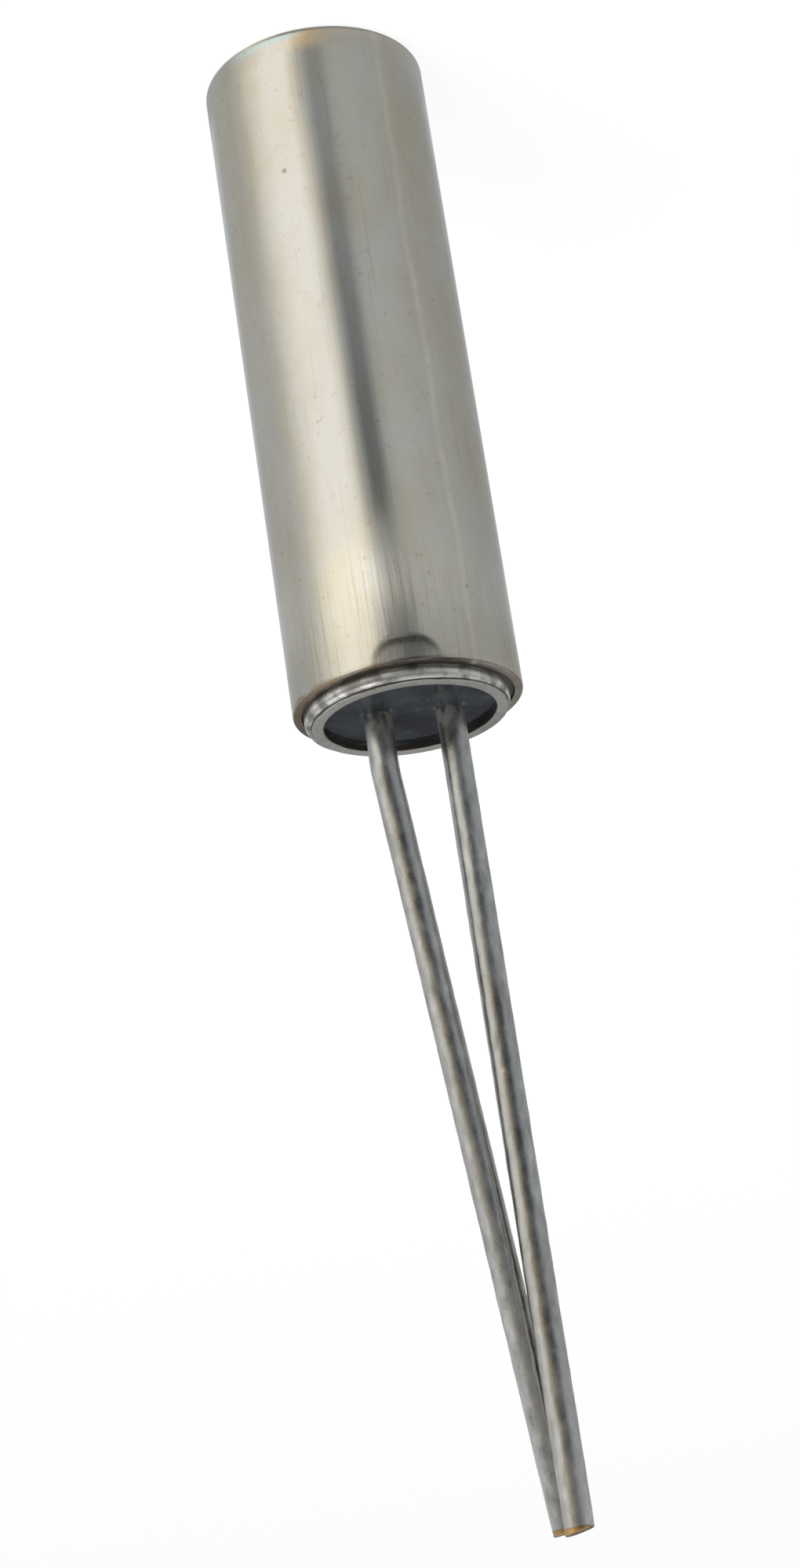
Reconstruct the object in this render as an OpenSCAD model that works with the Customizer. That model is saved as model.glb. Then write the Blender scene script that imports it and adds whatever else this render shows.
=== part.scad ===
// Two-lead quartz crystal in a cylinder can, with the inner parts that make it work.
// Millimetres, +Z up. The part stands on the can's closed end, and the origin is the
// middle of that end's outer face. The leads leave the can upwards, side by side along X:
// the straight one on the -X side, the bent one on the +X side.

/* [Can] */
// Outer diameter of the can
can_d = 3; // [2.9:0.1:4]
// Length of the can from its closed end to its rim
can_len = 9.36; // [9:0.02:14]
// Thickness of the can's side wall
can_wall = 0.12; // [0.08:0.01:0.15]
// Thickness of the can's closed end
can_floor = 0.14; // [0.1:0.02:0.3]
// Outer radius of the bend between side wall and closed end
can_corner_r = 0.14; // [0.14:0.02:0.4]
// Radius on the outer edge of the can's rim
rim_r = 0.05; // [0.02:0.01:0.07]

/* [Header] */
// Height of the ring that holds the glass
ring_h = 1.24; // [0.8:0.02:1.6]
// Wall thickness of the ring
ring_wall = 0.165; // [0.1:0.005:0.2]
// How far the ring stands out of the can's mouth
ring_stand = 0.19; // [0.18:0.01:0.45]
// How deep the glass face lies below the ring's face
glass_recess = 0.09; // [0.02:0.01:0.1]

/* [Solder seal] */
// Thickness of the solder pressed between can and ring
solder_t = 0.09; // [0.06:0.01:0.12]
// How far the solder stops short of the ring's inner end
solder_short = 0.1; // [0.05:0.01:0.2]
// How far the solder lies below the can's rim, next to the wall
cove_depth = 0.05; // [0.02:0.01:0.08]
// How far the squeezed-out bead stands proud of the ring
bead_t = 0.045; // [0.02:0.005:0.05]
// How far the bead stops short of the ring's face
bead_step = 0.02; // [0.01:0.01:0.06]

/* [Leads] */
// Diameter of the tinned wire
lead_d = 0.37; // [0.3:0.01:0.4]
// Distance between the two leads in the glass
lead_pitch = 0.95; // [0.85:0.05:1.1]
// How far the two leads together sit off the can's axis, towards the straight lead's side
lead_shift = 0.05; // [0:0.01:0.08]
// Length of the leads from the glass to their tips
lead_len = 10.6; // [6:0.1:20]
// Length of the bent lead that stays straight above the glass
bend_up = 0.7; // [0.5:0.1:2]
// Radius of the bend at the wire's centre
bend_r = 1; // [1:0.5:6]
// Sideways distance between the centres of the two tips
tip_side = 0.06; // [0:0.02:0.2]
// Gap between the two wires at their tips
tip_gap = 0.05; // [0.04:0.01:0.3]

/* [Crystal] */
// Width of the quartz strip
blank_w = 1.8; // [1.8:0.05:2.2]
// Length of the quartz strip
blank_len = 6; // [5:0.1:6.5]
// Thickness of the quartz strip
blank_t = 0.2; // [0.1:0.02:0.3]
// Distance from the header to the quartz strip
blank_gap = 0.45; // [0.3:0.05:0.6]
// How far the posts reach along the quartz strip
blank_grip = 0.9; // [0.8:0.05:1.2]
// Thickness of the metal film
film_t = 0.02; // [0.01:0.005:0.04]
// Width of the metal film's pad
pad_w = 1.2; // [0.8:0.1:1.6]
// Length of the metal film's pad
pad_len = 3.4; // [2:0.1:3.6]
// Width of the film's tab between its pad and its landing
tab_w = 0.4; // [0.2:0.05:0.6]
// Radius of the adhesive that holds the strip to a post
joint_r = 0.3; // [0.26:0.01:0.34]
// Border of the film's landing around the adhesive
landing_edge = 0.03; // [0.01:0.01:0.04]

/* [Hidden] */
$fn = 96;

// Room that a cut takes past the face it opens
cut_over = 0.1;

// Radii of the nested round pieces, from the outside in
can_r = can_d / 2;
bore_r = can_r - can_wall;
ring_r = bore_r - solder_t;
glass_r = ring_r - ring_wall;
bead_r = ring_r + bead_t;

// Heights of the header
ring_top = can_len + ring_stand;
ring_low = ring_top - ring_h;
glass_top = ring_top - glass_recess;
bead_top = ring_top - bead_step;

// Lead positions, and the bent lead's lean towards its tip behind the straight lead's
straight_x = -lead_pitch / 2 - lead_shift;
bent_x = lead_pitch / 2 - lead_shift;
tip_z = glass_top + lead_len;
bend_z = glass_top + bend_up;
tip_dx = tip_side - lead_pitch;
tip_dy = sqrt(pow(lead_d + tip_gap, 2) - pow(tip_side, 2));
tip_run = norm([tip_dx, tip_dy]);
tip_rise = tip_z - bend_z;
lean = acos(-bend_r / norm([tip_run - bend_r, tip_rise])) - atan2(tip_rise, tip_run - bend_r);
lean_side = atan2(tip_dy, tip_dx);
bend_end_x = bend_r * (1 - cos(lean));
bend_end_z = bend_r * sin(lean);

// Heights of the crystal, which hangs from the posts' flats at y = 0
blank_top = ring_low - blank_gap;
blank_low = blank_top - blank_len;
post_low = blank_top - blank_grip;
joint_z = blank_top - blank_grip / 2;
back_y = -film_t;
front_y = back_y - blank_t;
landing_w = 2 * (joint_r + landing_edge);

// Half of a section with round corners of radius r, from the axis out to radius w,
// and from height low to height high. Only the corners named by the flags are round.
module half_section(w, low, high, r, round_low, round_high) {
    low_r = round_low ? r : 0;
    high_r = round_high ? r : 0;
    translate([0, low]) square([w - r, high - low]);
    translate([0, low + low_r]) square([w, high - low - low_r - high_r]);
    if (round_low) translate([w - r, low + r]) circle(r);
    if (round_high) translate([w - r, high - r]) circle(r);
}

// Upright box between two heights, centred on x and reaching from y0 to y1
module slab(x, w, y0, y1, low, high) {
    translate([x - w / 2, y0, low]) cube([w, y1 - y0, high - low]);
}

module can() {
    inner_r = can_corner_r - can_wall;
    color("#aaa798") rotate_extrude() difference() {
        intersection() {
            half_section(can_r, 0, can_len + can_corner_r, can_corner_r, true, false);
            half_section(can_r, -rim_r, can_len, rim_r, false, true);
        }
        half_section(bore_r, can_floor, can_len + cut_over, inner_r, true, false);
    }
}

module header_ring() {
    color("#b4b2ab") translate([0, 0, ring_low]) difference() {
        cylinder(h = ring_h, r = ring_r);
        translate([0, 0, -cut_over]) cylinder(h = ring_h + 2 * cut_over, r = glass_r);
    }
}

module glass_seal() {
    color("#2b2e33") difference() {
        translate([0, 0, ring_low]) cylinder(h = glass_top - ring_low, r = glass_r);
        for (x = [straight_x, bent_x])
            translate([x, 0, ring_low - cut_over]) cylinder(h = ring_h + cut_over, d = lead_d);
    }
}

module solder_seal() {
    sleeve_low = ring_low + solder_short;
    color("#c9c7bf") rotate_extrude() difference() {
        union() {
            half_section(bead_r, sleeve_low, bead_top, bead_t, false, true);
            translate([0, sleeve_low]) square([bore_r, can_len - cove_depth - sleeve_low]);
        }
        square([ring_r, ring_top]);
    }
}

// A post's lower end, where half of the wire is cut away to a flat at y = 0
module post_flat(x) {
    slab(x, 2 * lead_d, -lead_d, 0, post_low - cut_over, blank_top + cut_over);
}

module straight_lead() {
    color("#a5a5a0") difference() {
        translate([straight_x, 0, post_low]) cylinder(h = tip_z - post_low, d = lead_d);
        post_flat(straight_x);
    }
}

// The stretch of the bent lead above the straight part, leaning towards +X
module leaning_wire() {
    translate([bend_r, 0, 0]) rotate([90, 0, 180])
        rotate_extrude(angle = lean) translate([bend_r, 0]) circle(d = lead_d);
    translate([bend_end_x, 0, bend_end_z]) rotate([0, lean, 0])
        cylinder(h = (tip_rise - bend_end_z) / cos(lean), d = lead_d);
}

module bent_lead() {
    color("#a5a5a0") {
        difference() {
            translate([bent_x, 0, post_low]) cylinder(h = bend_z - post_low, d = lead_d);
            post_flat(bent_x);
        }
        translate([bent_x, 0, bend_z]) rotate([0, 0, lean_side]) leaning_wire();
    }
}

module quartz_blank() {
    color("#dfe6ea") slab(0, blank_w, front_y, back_y, blank_low, blank_top);
}

// A film's pad and its tab up to the blank's end, between two depths
module film(tab_x, y0, y1) {
    pad_low = (blank_low + blank_top - pad_len) / 2;
    slab(0, pad_w, y0, y1, pad_low, pad_low + pad_len);
    slab(tab_x, tab_w, y0, y1, pad_low + pad_len - tab_w, blank_top);
}

// The landing on the back of the blank, under a post's flat
module landing(x) {
    slab(x, landing_w, back_y, 0, post_low, blank_top);
}

module front_electrode() {
    color("#d5d3cc") {
        film(straight_x, front_y - film_t, front_y);
        slab(straight_x, tab_w, front_y - film_t, 0, blank_top, blank_top + film_t);
        landing(straight_x);
    }
}

module back_electrode() {
    color("#d5d3cc") {
        film(bent_x, back_y, 0);
        landing(bent_x);
    }
}

// Half a ball of adhesive on a landing, around the end of a post
module joint(x) {
    translate([x, 0, joint_z]) difference() {
        sphere(joint_r);
        slab(0, 3 * joint_r, -2 * joint_r, 0, -2 * joint_r, 2 * joint_r);
        translate([0, 0, post_low - joint_z]) cylinder(h = blank_grip, d = lead_d);
    }
}

module straight_joint() { color("#8f8d86") joint(straight_x); }

module bent_joint() { color("#8f8d86") joint(bent_x); }

can();
header_ring();
glass_seal();
solder_seal();
straight_lead();
bent_lead();
quartz_blank();
front_electrode();
back_electrode();
straight_joint();
bent_joint();
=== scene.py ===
import math
import bpy
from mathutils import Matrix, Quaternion, Vector


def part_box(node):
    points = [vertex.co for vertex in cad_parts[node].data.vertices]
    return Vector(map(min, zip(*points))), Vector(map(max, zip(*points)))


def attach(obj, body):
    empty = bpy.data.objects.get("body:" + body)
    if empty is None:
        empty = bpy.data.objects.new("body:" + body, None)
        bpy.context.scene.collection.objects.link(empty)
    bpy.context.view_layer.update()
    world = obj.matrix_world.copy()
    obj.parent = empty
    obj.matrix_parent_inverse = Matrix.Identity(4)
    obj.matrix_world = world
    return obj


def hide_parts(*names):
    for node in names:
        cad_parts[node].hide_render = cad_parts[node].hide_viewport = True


# A two-lead quartz crystal in a cylinder can, standing on its closed end.
# Sizes are in millimetres and angles in degrees. mm turns them into metres.

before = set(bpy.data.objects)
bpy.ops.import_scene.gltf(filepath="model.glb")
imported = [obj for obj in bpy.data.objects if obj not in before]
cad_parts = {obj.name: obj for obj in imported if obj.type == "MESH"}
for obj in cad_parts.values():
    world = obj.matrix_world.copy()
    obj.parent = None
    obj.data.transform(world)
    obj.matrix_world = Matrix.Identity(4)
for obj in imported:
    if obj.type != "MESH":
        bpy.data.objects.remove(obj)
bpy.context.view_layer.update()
mm = 0.001
mergeGap = 0.001 * mm

bpy.context.scene.view_settings.view_transform = "Standard"


def heightsOf(node):
    return [round(corner.z / mm, 4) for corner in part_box(node)]


rimTop, glassTop = heightsOf("can")[1], heightsOf("glass_seal")[1]
ringLow, ringTop = heightsOf("header_ring")
solderLow = heightsOf("solder_seal")[0]
straightBox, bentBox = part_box("straight_lead"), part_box("bent_lead")


# camera: close, looking down at the mouth, rolled so that the leads point down

cameraSpec = dict(aim=(0.2567, 0.0407, 10.4035), distance=42.954, azimuth=-9.0, drop=20.08,
                  roll=171.378, lens=77.145)


def addCamera(spec):
    turn, drop = math.radians(spec["azimuth"]), math.radians(spec["drop"])
    forward = Vector((math.sin(turn) * math.cos(drop), math.cos(turn) * math.cos(drop), -math.sin(drop)))
    data = bpy.data.cameras.new("camera")
    data.lens = spec["lens"]
    data.clip_start = mm
    data.clip_end = 20
    camera = bpy.data.objects.new("camera", data)
    bpy.context.scene.collection.objects.link(camera)
    camera.rotation_mode = "QUATERNION"
    level = forward.to_track_quat("-Z", "Y")
    camera.rotation_quaternion = level @ Quaternion((0, 0, 1), math.radians(spec["roll"]))
    camera.location = (Vector(spec["aim"]) - forward * spec["distance"]) * mm
    bpy.context.scene.camera = camera


addCamera(cameraSpec)
print("camera set")


# small tools for meshes

def clearSelection():
    if bpy.context.object and bpy.context.object.mode != "OBJECT":
        bpy.ops.object.mode_set(mode="OBJECT")
    bpy.ops.object.select_all(action="DESELECT")


def startEditing(name):
    # names the primitive just added, puts its place in its mesh and opens it, all selected
    piece = bpy.context.object
    piece.name = piece.data.name = name
    bpy.ops.object.transform_apply(location=True, rotation=True, scale=True)
    bpy.ops.object.mode_set(mode="EDIT")
    bpy.ops.mesh.select_all(action="SELECT")
    return piece


def pick(piece, wanted):
    # selects, in edit mode, the vertices whose place in millimetres passes the test
    bpy.ops.mesh.select_mode(type="VERT")
    bpy.ops.mesh.select_all(action="DESELECT")
    bpy.ops.object.mode_set(mode="OBJECT")
    for vertex in piece.data.vertices:
        vertex.select = bool(wanted(*(vertex.co / mm)))
    bpy.ops.object.mode_set(mode="EDIT")


def finishMesh(piece, crease=35):
    bpy.ops.object.mode_set(mode="EDIT")
    bpy.ops.mesh.select_all(action="SELECT")
    bpy.ops.mesh.remove_doubles(threshold=mergeGap)
    bpy.ops.mesh.normals_make_consistent(inside=False)
    bpy.ops.object.mode_set(mode="OBJECT")
    bpy.ops.object.shade_smooth_by_angle(angle=math.radians(crease))
    return piece


def turnOnLathe(name, profile, steps=256, closed=False):
    # draws the profile's points (radius, height) one after another and spins them round the can's axis
    clearSelection()
    (radius, height), rest = profile[0], list(profile[1:])
    bpy.ops.mesh.primitive_plane_add(size=mm, location=(radius * mm, 0, height * mm))
    piece = startEditing(name)
    bpy.ops.mesh.merge(type="CENTER")
    for nextRadius, nextHeight in rest + ([profile[0]] if closed else []):
        step = ((nextRadius - radius) * mm, 0, (nextHeight - height) * mm)
        bpy.ops.mesh.extrude_region_move(TRANSFORM_OT_translate={"value": step})
        radius, height = nextRadius, nextHeight
    bpy.ops.mesh.select_all(action="SELECT")
    bpy.ops.mesh.remove_doubles(threshold=mergeGap)
    bpy.ops.mesh.select_all(action="SELECT")
    bpy.ops.mesh.spin(steps=steps, angle=2 * math.pi, axis=(0, 0, 1), center=(0, 0, 0))
    return finishMesh(piece)


def arc(centre, radius, start, end, steps):
    # points of a round corner in a profile, angles from the outward direction
    points = []
    for i in range(steps + 1):
        angle = math.radians(start + (end - start) * i / steps)
        points.append((centre[0] + radius * math.cos(angle), centre[1] + radius * math.sin(angle)))
    return points


def levels(start, end, step):
    # even heights from start to just short of end
    return [start + step * i for i in range(math.ceil((end - start) / step))]


def roughen(piece, grain, height, group=None):
    # uneven surface: clouds of that grain, pushed in and out by up to half the height
    clouds = bpy.data.textures.new(piece.name + "Lumps", "CLOUDS")
    clouds.noise_scale = grain * mm
    clouds.noise_depth = 3
    bpy.context.view_layer.objects.active = piece
    lumps = piece.modifiers.new("lumps", "DISPLACE")
    lumps.texture = clouds
    lumps.texture_coords = "LOCAL"
    lumps.strength = height * mm
    lumps.mid_level = 0.5
    if group:
        lumps.vertex_group = group
    bpy.ops.object.modifier_apply(modifier=lumps.name)


# the can: deep-drawn, and a trace wider at its mouth, where the header is pressed in

canSpec = dict(radius=1.4982, wall=0.1182, length=rimTop, floor=0.14, cornerRadius=0.14, rimRadius=0.04,
               boreEdge=0.015, squeeze=0.997, mouthGrowth=1.0008, flareReach=2.6, bentFrom=7.2,
               dent=(0.18, -1.483), dentPush=(-0.002, 0.015), dentReach=0.31, dentWidth=0.15,
               rimGrain=0.3, rimWave=0.014)


def makeCan(spec):
    radius, wall, length, bentFrom = spec["radius"], spec["wall"], spec["length"], spec["bentFrom"]
    corner, rim, edge = spec["cornerRadius"], spec["rimRadius"], spec["boreEdge"]
    bore, innerCorner = radius - wall, corner - wall
    outside = [(0, 0), (0.5, 0), (1.0, 0)] + arc((radius - corner, corner), corner, -90, 0, 16)
    # the points lie close together near the mouth, so that the wall can bend there
    wallHeights = levels(0.6, bentFrom, 0.4) + levels(bentFrom, length - rim - 0.01, 0.04)
    outside += [(radius, z) for z in wallHeights]
    mouth = arc((radius - rim, length - rim), rim, 0, 90, 8)
    mouth += arc((bore + edge, length - edge), edge, 90, 180, 4)
    inside = [(bore, z) for z in (9.0, 8.6, 8.2, 7.0, 5.0, 3.0, 1.0)]
    inside += arc((bore - innerCorner, spec["floor"] + innerCorner), innerCorner, 0, -90, 6)
    inside += [(0.6, spec["floor"]), (0, spec["floor"])]
    can = turnOnLathe("drawn_can", outside + mouth + inside)

    # a hair narrower in Y, so that it stays inside the box of the CAD's can, and a trace wider at its mouth
    bpy.ops.object.mode_set(mode="EDIT")
    bpy.ops.mesh.select_all(action="SELECT")
    bpy.ops.transform.resize(value=(1, spec["squeeze"], 1), center_override=(0, 0, 0))
    pick(can, lambda x, y, z: z > length - 0.02)
    reach = dict(use_proportional_edit=True, proportional_edit_falloff="SMOOTH",
                 proportional_size=spec["flareReach"] * mm)
    mouthCentre = (0, 0, length * mm)
    growth = spec["mouthGrowth"]
    bpy.ops.transform.resize(value=(growth, growth, 1), center_override=mouthCentre, **reach)

    # a shallow dent in the front of the mouth's edge
    dentX, dentY = spec["dent"]
    pick(can, lambda x, y, z: z > length - 0.03 and math.hypot(x - dentX, y - dentY) < spec["dentWidth"])
    reach.update(proportional_size=spec["dentReach"] * mm, proportional_edit_falloff="ROOT")
    push = [s * mm for s in spec["dentPush"]]
    bpy.ops.transform.translate(value=(push[0], push[1], 0), **reach)
    bpy.ops.object.mode_set(mode="OBJECT")

    # the top of the rim is a little wavy, as it was pressed and soldered
    can.vertex_groups.new(name="rim")
    onTop = [v.index for v in can.data.vertices
             if v.co.z > (length - 0.03) * mm and math.hypot(v.co.x, v.co.y) < (radius - 0.02) * mm]
    can.vertex_groups["rim"].add(onTop, 1, "ADD")
    roughen(can, spec["rimGrain"], spec["rimWave"], "rim")
    return can


can = makeCan(canSpec)
print("can made, faces:", len(can.data.polygons))


# the header's ring, with the face that shows round the glass

ringSpec = dict(outer=1.287, inner=1.125, low=ringLow, top=ringTop, outerEdge=0.03, innerEdge=0.02,
                faceEdge=0.06)


def makeRing(spec):
    outer, inner, low, top = spec["outer"], spec["inner"], spec["low"], spec["top"]
    edge, lip, face = spec["outerEdge"], spec["innerEdge"], spec["faceEdge"]
    profile = [(inner, low), (outer, low), (outer, (low + top) / 2)]
    profile += arc((outer - edge, top - edge), edge, 0, 90, 6)
    profile += [(outer - face, top), (inner + face, top)]
    profile += arc((inner + lip, top - lip), lip, 90, 180, 5)
    return turnOnLathe("header_eyelet", profile, closed=True)


ring = makeRing(ringSpec)


# the solder between can and ring: a dark cove below the rim, then the squeezed-out bead

solderSpec = dict(inner=ringSpec["outer"] + 0.0005, outer=canSpec["radius"] - canSpec["wall"] - 0.005,
                  low=solderLow, coveHeight=rimTop - 0.04, beadHeight=ringTop - 0.132, beadSize=0.102,
                  beadReach=0.055, beadShift=0.026, lumpGrain=0.5, lumpHeight=0.014)


def makeSolder(spec):
    inner, outer, low = spec["inner"], spec["outer"], spec["low"]
    size, height, cove = spec["beadSize"], spec["beadHeight"], spec["coveHeight"]
    sleeve = [(inner, low), (outer, low), (outer, (low + cove) / 2), (outer, cove)]
    dip = [(outer - 0.02, cove - 0.012), (inner + 0.03, cove - 0.01)]
    bead = [(inner + spec["beadReach"] * out, height + size * up)
            for out, up in arc((0, 0), 1, -86, 86, 16)]
    solder = turnOnLathe("solder_bead", sleeve + dip + bead, closed=True)

    # more of it came out on the bent lead's side
    bpy.ops.object.mode_set(mode="EDIT")
    pick(solder, lambda x, y, z: z > cove - 0.005 and inner + 0.008 < math.hypot(x, y) < outer - 0.01)
    bpy.ops.transform.translate(value=(spec["beadShift"] * mm, 0, 0))
    bpy.ops.object.mode_set(mode="OBJECT")
    solder.vertex_groups.new(name="bead")
    shown = [v.index for v in solder.data.vertices
             if v.co.z > (height - size) * mm and math.hypot(v.co.x, v.co.y) > (inner + 0.005) * mm]
    solder.vertex_groups["bead"].add(shown, 1, "ADD")
    roughen(solder, spec["lumpGrain"], spec["lumpHeight"], "bead")
    return solder


solder = makeSolder(solderSpec)
print("ring and solder made")


# the leads: tinned wire with a half-round post inside the can

wireRadius = 0.185
leadSpec = dict(radius=wireRadius, low=straightBox[0].z / mm, flatTop=ringLow - 0.37, shoulder=0.004,
                top=straightBox[1].z / mm, sides=48, step=0.08, cutRun=0.2, edgeRun=0.012, edgeTaper=0.93,
                lumpGrain=0.2, lumpHeight=0.012)
straightSpec = dict(leadSpec, name="straight_wire", x=straightBox[0].x / mm + wireRadius, bendHeight=None,
                    cutTilt=11, worn=(-0.455, -0.17, 14.37), wornSize=0.035, bareEnd=0.075)
bentSpec = dict(leadSpec, name="bent_wire", x=bentBox[1].x / mm - wireRadius, top=leadSpec["top"] - 0.08,
                bendHeight=glassTop + 0.7, bendRadius=1.0, lean=5.695, leanSide=154.964,
                cutTilt=3, worn=(0.325, -0.115, 11.62), wornSize=0.045, bareEnd=0.045)


def extrudeRing(offset):
    bpy.ops.mesh.extrude_region_move(TRANSFORM_OT_translate={"value": [o * mm for o in offset]})


def makeLead(spec):
    clearSelection()
    radius, x, flatTop, shoulder = spec["radius"], spec["x"], spec["flatTop"], spec["shoulder"]
    bpy.ops.mesh.primitive_circle_add(vertices=spec["sides"], radius=radius * mm,
                                      location=(x * mm, 0, flatTop * mm))
    lead = startEditing(spec["name"])
    slope = radius * math.sin(math.radians(spec["cutTilt"]))
    endRun = spec["edgeRun"] + spec["cutRun"] + slope
    height = spec["bendHeight"] or spec["top"] - endRun
    runs = round((height - flatTop) / spec["step"])
    for _ in range(runs):
        extrudeRing((0, 0, (height - flatTop) / runs))
    direction = Vector((0, 0, 1))
    end = Vector((x, 0, height))
    if spec["bendHeight"]:
        side, lean = math.radians(spec["leanSide"]), math.radians(spec["lean"])
        bend = spec["bendRadius"]
        outward = Vector((math.cos(side), math.sin(side), 0))
        centre = end + outward * bend
        bpy.ops.mesh.spin(steps=4, angle=lean, axis=outward.cross((0, 0, 1)), center=centre * mm)
        direction = outward * math.sin(lean) + Vector((0, 0, math.cos(lean)))
        end = end + outward * bend * (1 - math.cos(lean)) + Vector((0, 0, bend * math.sin(lean)))
        left = (spec["top"] - endRun - end.z) / math.cos(lean)
        runs = round(left / spec["step"])
        for _ in range(runs):
            extrudeRing(direction * (left / runs))
        end = end + direction * left

    # the end is cut a little askew, with its edge just taken off
    extrudeRing(direction * spec["cutRun"])
    end = end + direction * spec["cutRun"]
    bpy.ops.transform.rotate(value=math.radians(spec["cutTilt"]), orient_axis="Y", center_override=end * mm)
    extrudeRing(direction * spec["edgeRun"])
    end = end + direction * spec["edgeRun"]
    taper = spec["edgeTaper"]
    bpy.ops.transform.resize(value=(taper, taper, 1), center_override=end * mm)
    bpy.ops.mesh.edge_face_add()

    # the post below is the half of the wire behind its flat
    pick(lead, lambda px, py, pz: pz < flatTop + shoulder / 2)
    extrudeRing((0, 0, -shoulder))
    pick(lead, lambda px, py, pz: pz < flatTop - shoulder / 2 and py < 0)
    bpy.ops.transform.resize(value=(1, 0, 1), center_override=(x * mm, 0, flatTop * mm))
    pick(lead, lambda px, py, pz: pz < flatTop - shoulder / 2)
    extrudeRing((0, 0, spec["low"] - flatTop + shoulder))
    bpy.ops.mesh.edge_face_add()
    finishMesh(lead)
    roughen(lead, spec["lumpGrain"], spec["lumpHeight"])
    return lead


straightLead = makeLead(straightSpec)
bentLead = makeLead(bentSpec)
print("leads made")


# the sealing glass: a disc with a hole for each lead, drawn up a little where it wets them

glassSpec = dict(radius=ringSpec["inner"], low=ringLow, top=glassTop, edgeRise=0.004, rings=26, steps=144,
                 climb=0.015, climbReach=0.12)


def makeGlass(spec):
    radius, low, top = spec["radius"], spec["low"], spec["top"]
    rise, rings = spec["edgeRise"], spec["rings"]
    profile = [(0, low), (radius, low), (radius, top + rise), (radius - 0.012, top + 0.4 * rise)]
    profile += [((radius - 0.03) * (1 - i / rings), top) for i in range(rings)] + [(0, top)]
    glass = turnOnLathe("glass_disc", profile, steps=spec["steps"])
    for lead in (straightSpec, bentSpec):
        clearSelection()
        bpy.ops.mesh.primitive_cylinder_add(vertices=lead["sides"], radius=lead["radius"] * mm,
                                            depth=3 * (top - low) * mm,
                                            location=(lead["x"] * mm, 0, (low + top) / 2 * mm))
        drill = bpy.context.object
        bpy.context.view_layer.objects.active = glass
        hole = glass.modifiers.new("hole", "BOOLEAN")
        hole.object, hole.operation, hole.solver = drill, "DIFFERENCE", "EXACT"
        bpy.ops.object.modifier_apply(modifier=hole.name)
        bpy.data.objects.remove(drill)
    clearSelection()
    glass.select_set(True)
    bpy.context.view_layer.objects.active = glass
    bpy.ops.object.mode_set(mode="EDIT")
    for lead in (straightSpec, bentSpec):
        atWire = lead["radius"] + 0.01
        pick(glass, lambda x, y, z: z > top - 0.01 and math.hypot(x - lead["x"], y) < atWire)
        bpy.ops.transform.translate(value=(0, 0, spec["climb"] * mm), use_proportional_edit=True,
                                    proportional_edit_falloff="SHARP",
                                    proportional_size=spec["climbReach"] * mm)
    bpy.ops.object.mode_set(mode="OBJECT")
    return glass


glass = makeGlass(glassSpec)
print("glass made")


# colours and nodes for the materials

def linearColour(code):
    channels = [int(code[i:i + 2], 16) / 255 for i in (1, 3, 5)]
    return tuple([c / 12.92 if c <= 0.04045 else ((c + 0.055) / 1.055) ** 2.4 for c in channels] + [1])


def addNode(tree, kind, inputs=None, stops=None, **settings):
    # one node with its settings, its ramp stops, and its inputs, which are values, outputs or other nodes
    node = tree.nodes.new("ShaderNode" + kind)
    for key, value in settings.items():
        setattr(node, key, value)
    for key, value in (inputs or {}).items():
        if isinstance(value, bpy.types.Node):
            value = next(output for output in value.outputs if output.enabled)
        if isinstance(value, bpy.types.NodeSocket):
            tree.links.new(value, node.inputs[key])
        else:
            node.inputs[key].default_value = value
    if stops:
        elements = node.color_ramp.elements
        while len(elements) < len(stops):
            elements.new(0.5)
        for element, (position, colour) in zip(elements, sorted(stops)):
            element.position = position
            element.color = linearColour(colour) if isinstance(colour, str) else (colour, colour, colour, 1)
    return node


def newMaterial(name):
    material = bpy.data.materials.new(name)
    material.use_nodes = True
    return material, material.node_tree, material.node_tree.nodes["Principled BSDF"]


def places(tree, across=1.0, along=1.0, turn=0.0):
    # the spot on the piece, turned about Z, in steps of a pattern's size across and along Z in millimetres.
    # With nothing said it is in millimetres, and a size of math.inf makes the pattern even that way.
    coordinates = addNode(tree, "TexCoord")
    steps = (1 / (across * mm), 1 / (across * mm), 1 / (along * mm))
    scaled = addNode(tree, "Mapping", {"Vector": coordinates.outputs["Object"], "Scale": steps,
                     "Rotation": (0, 0, math.radians(turn))})
    return scaled.outputs["Vector"]


# nickel-plated nickel silver, drawn: satin, with fine lines along the can and faint warm clouds

# A pattern's size is in millimetres, as 1 / how many fit in one, across and then along the can. The drawing
# lines are coarse enough to show.
nickelSpec = dict(clean="#D6D1C4", warm="#D0C5AD", darkTone="#94744E", line="#8F8878", pit="#5A4A3C",
                  rimTop="#4C453C", rimSide="#957247", worn="#F0E6D2", lineSize=(1 / 26, 2.0),
                  cloudSize=(1 / 1.3, 1 / 0.6), hairSize=(1 / 17, 1 / 0.45), waveSize=(1 / 1.1, 1 / 0.7),
                  patchSize=1 / 2.2, speckSize=1 / 9, scoredFrom=1.7,
                  dieBearing=-118.6, dieWidth=0.07, dieWaveLength=1 / 0.45,
                  pits=[((0.770, -1.287, 2.12), 0.05), ((-0.764, -1.291, 8.32), 0.035)])


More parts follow.
